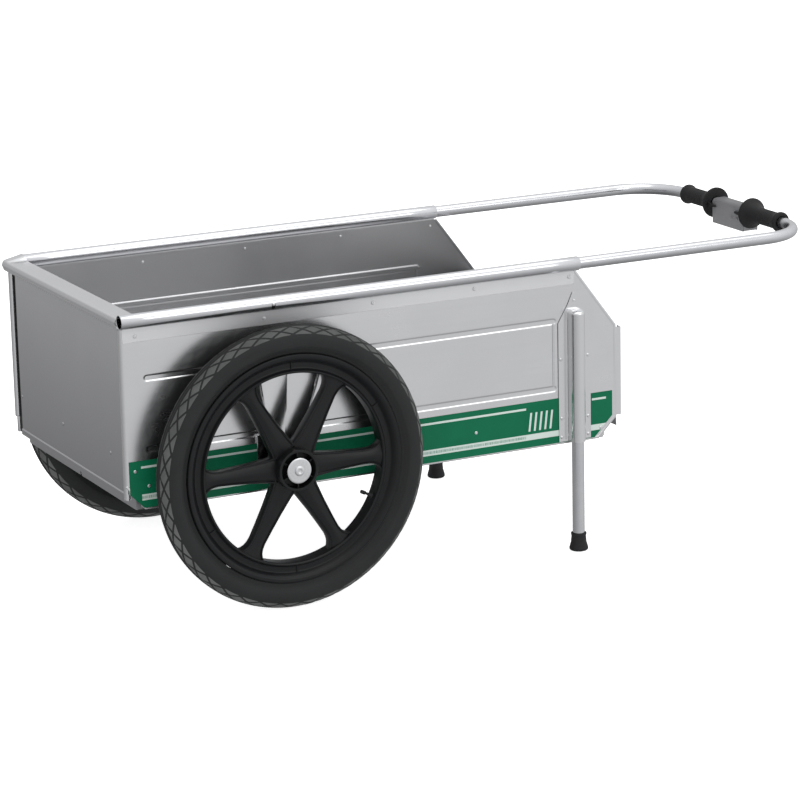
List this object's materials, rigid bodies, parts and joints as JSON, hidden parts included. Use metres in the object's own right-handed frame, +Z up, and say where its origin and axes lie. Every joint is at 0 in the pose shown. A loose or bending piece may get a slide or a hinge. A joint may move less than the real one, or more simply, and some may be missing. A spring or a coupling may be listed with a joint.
{
  "type": "folding garden cart",
  "caption": "Two-wheeled aluminium garden cart with sheet sides, lift-out gates, a bed that folds like a book, retractable legs and a tubular push handle.",
  "frame": {"origin": "centre of the overall box on the ground plane", "axes": "+X from the front gate towards the push handle, +Z up, near side at -Y"},
  "size_m": [1.448, 0.722, 0.574],
  "materials": {
    "panel_aluminium": "satin mill-finish sheet with embossed beads",
    "bracket_aluminium": "pressed sheet, brighter and smoother than the panels",
    "tube_aluminium": "bright drawn tube",
    "steel": "zinc-plated",
    "tyre_rubber": "black pneumatic tyre with a light block tread",
    "black_plastic": "moulded, faintly glossy",
    "soft_rubber": "matt moulded rubber",
    "grey_plastic": "moulded grey plastic",
    "label_green": null
  },
  "bodies": {
    "near_side": {"near_side_panel": "panel_aluminium", "near_rail_sleeve": "panel_aluminium", "near_label": "label_green", "near_axle_bracket": "bracket_aluminium", "near_axle_stub": "steel", "near_leg_bracket": "bracket_aluminium", "near_hinge_leaf": "bracket_aluminium", "near_hinge_pin": "steel", "near_hub_washer": "steel", "near_axle_bolt": "steel", "rear_gate_keeper": "bracket_aluminium"},
    "near_wheel": {"near_tyre": "tyre_rubber", "near_rim_hoop": "black_plastic", "near_rim_spider": "black_plastic", "near_valve_stem": "tyre_rubber", "near_bush_inner": "grey_plastic", "near_bush_outer": "grey_plastic"},
    "near_leg": {"near_leg_tube": "tube_aluminium", "near_leg_foot": "soft_rubber"},
    "near_button": {"near_leg_button": "steel"},
    "near_handle": {"near_handle_tube": "tube_aluminium", "near_stop_screw": "steel", "near_grip": "soft_rubber", "handle_bracket": "grey_plastic"},
    "far_side": {"far_side_panel": "panel_aluminium", "far_rail_sleeve": "panel_aluminium", "far_label": "label_green", "far_axle_bracket": "bracket_aluminium", "far_axle_stub": "steel", "far_leg_bracket": "bracket_aluminium", "far_hinge_leaf": "bracket_aluminium", "far_hinge_pin": "steel", "far_hub_washer": "steel", "far_axle_bolt": "steel"},
    "far_wheel": {"far_tyre": "tyre_rubber", "far_rim_hoop": "black_plastic", "far_rim_spider": "black_plastic", "far_valve_stem": "tyre_rubber", "far_bush_inner": "grey_plastic", "far_bush_outer": "grey_plastic"},
    "far_leg": {"far_leg_tube": "tube_aluminium", "far_leg_foot": "soft_rubber"},
    "far_button": {"far_leg_button": "steel"},
    "far_handle": {"far_handle_tube": "tube_aluminium", "far_stop_screw": "steel", "far_grip": "soft_rubber"},
    "bed_near_leaf": {"bed_near": "panel_aluminium", "centre_hinge_pin": "steel"},
    "bed_far_leaf": {"bed_far": "panel_aluminium"},
    "front_gate": {"front_gate_panel": "panel_aluminium", "front_gate_cap": "panel_aluminium", "front_gate_near_stile": "panel_aluminium", "front_gate_far_stile": "panel_aluminium"},
    "rear_gate": {"rear_gate_panel": "panel_aluminium", "rear_gate_cap": "panel_aluminium"}
  },
  "joints": [
    {"name": "fold", "type": "hinge", "parent": "near_side", "child": "bed_near_leaf", "pos_m": [0, -0.266, 0.222], "axis": [1, 0, 0], "range_deg": [0, 88]},
    {"name": "bed_far_fold", "type": "hinge", "parent": "bed_near_leaf", "child": "bed_far_leaf", "pos_m": [0, 0, 0.2], "axis": [1, 0, 0], "range_deg": [-176, 0]},
    {"name": "far_side_fold", "type": "hinge", "parent": "bed_far_leaf", "child": "far_side", "pos_m": [0, 0.266, 0.222], "axis": [1, 0, 0], "range_deg": [0, 88]},
    {"name": "near_handle_fold", "type": "hinge", "parent": "near_side", "child": "near_handle", "pos_m": [0, -0.284, 0.544], "axis": [1, 0, 0], "range_deg": [0, 88]},
    {"name": "far_handle_fold", "type": "hinge", "parent": "far_side", "child": "far_handle", "pos_m": [0, 0.284, 0.544], "axis": [1, 0, 0], "range_deg": [-88, 0]},
    {"name": "near_wheel_spin", "type": "hinge", "parent": "near_side", "child": "near_wheel", "pos_m": [-0.425, -0.326, 0.256], "axis": [0, 1, 0], "continuous": true},
    {"name": "near_leg_slide", "type": "slide", "parent": "near_side", "child": "near_leg", "axis": [0, 0, 1], "range_m": [0, 0.14]},
    {"name": "near_button_press", "type": "slide", "parent": "near_leg", "child": "near_button", "axis": [0, 1, 0], "range_m": [0, 0.004], "stiffness_N_per_m": 1500, "springref_m": -0.001},
    {"name": "far_wheel_spin", "type": "hinge", "parent": "far_side", "child": "far_wheel", "pos_m": [-0.425, 0.326, 0.256], "axis": [0, 1, 0], "continuous": true},
    {"name": "far_leg_slide", "type": "slide", "parent": "far_side", "child": "far_leg", "axis": [0, 0, 1], "range_m": [0, 0.14]},
    {"name": "far_button_press", "type": "slide", "parent": "far_leg", "child": "far_button", "axis": [0, -1, 0], "range_m": [0, 0.004], "stiffness_N_per_m": 1500, "springref_m": -0.001},
    {"name": "front_gate_lift", "type": "slide", "parent": "near_side", "child": "front_gate", "axis": [0, 0, 1], "range_m": [0, 0.36]},
    {"name": "rear_gate_lift", "type": "slide", "parent": "near_side", "child": "rear_gate", "axis": [0, 0, 1], "range_m": [0, 0.11]}
  ],
  "couplings": [
    {"joint": "bed_far_fold", "follows": "fold", "ratio": -2},
    {"joint": "far_side_fold", "follows": "fold", "ratio": 1},
    {"joint": "near_handle_fold", "follows": "fold", "ratio": 1},
    {"joint": "far_handle_fold", "follows": "fold", "ratio": -1}
  ]
}
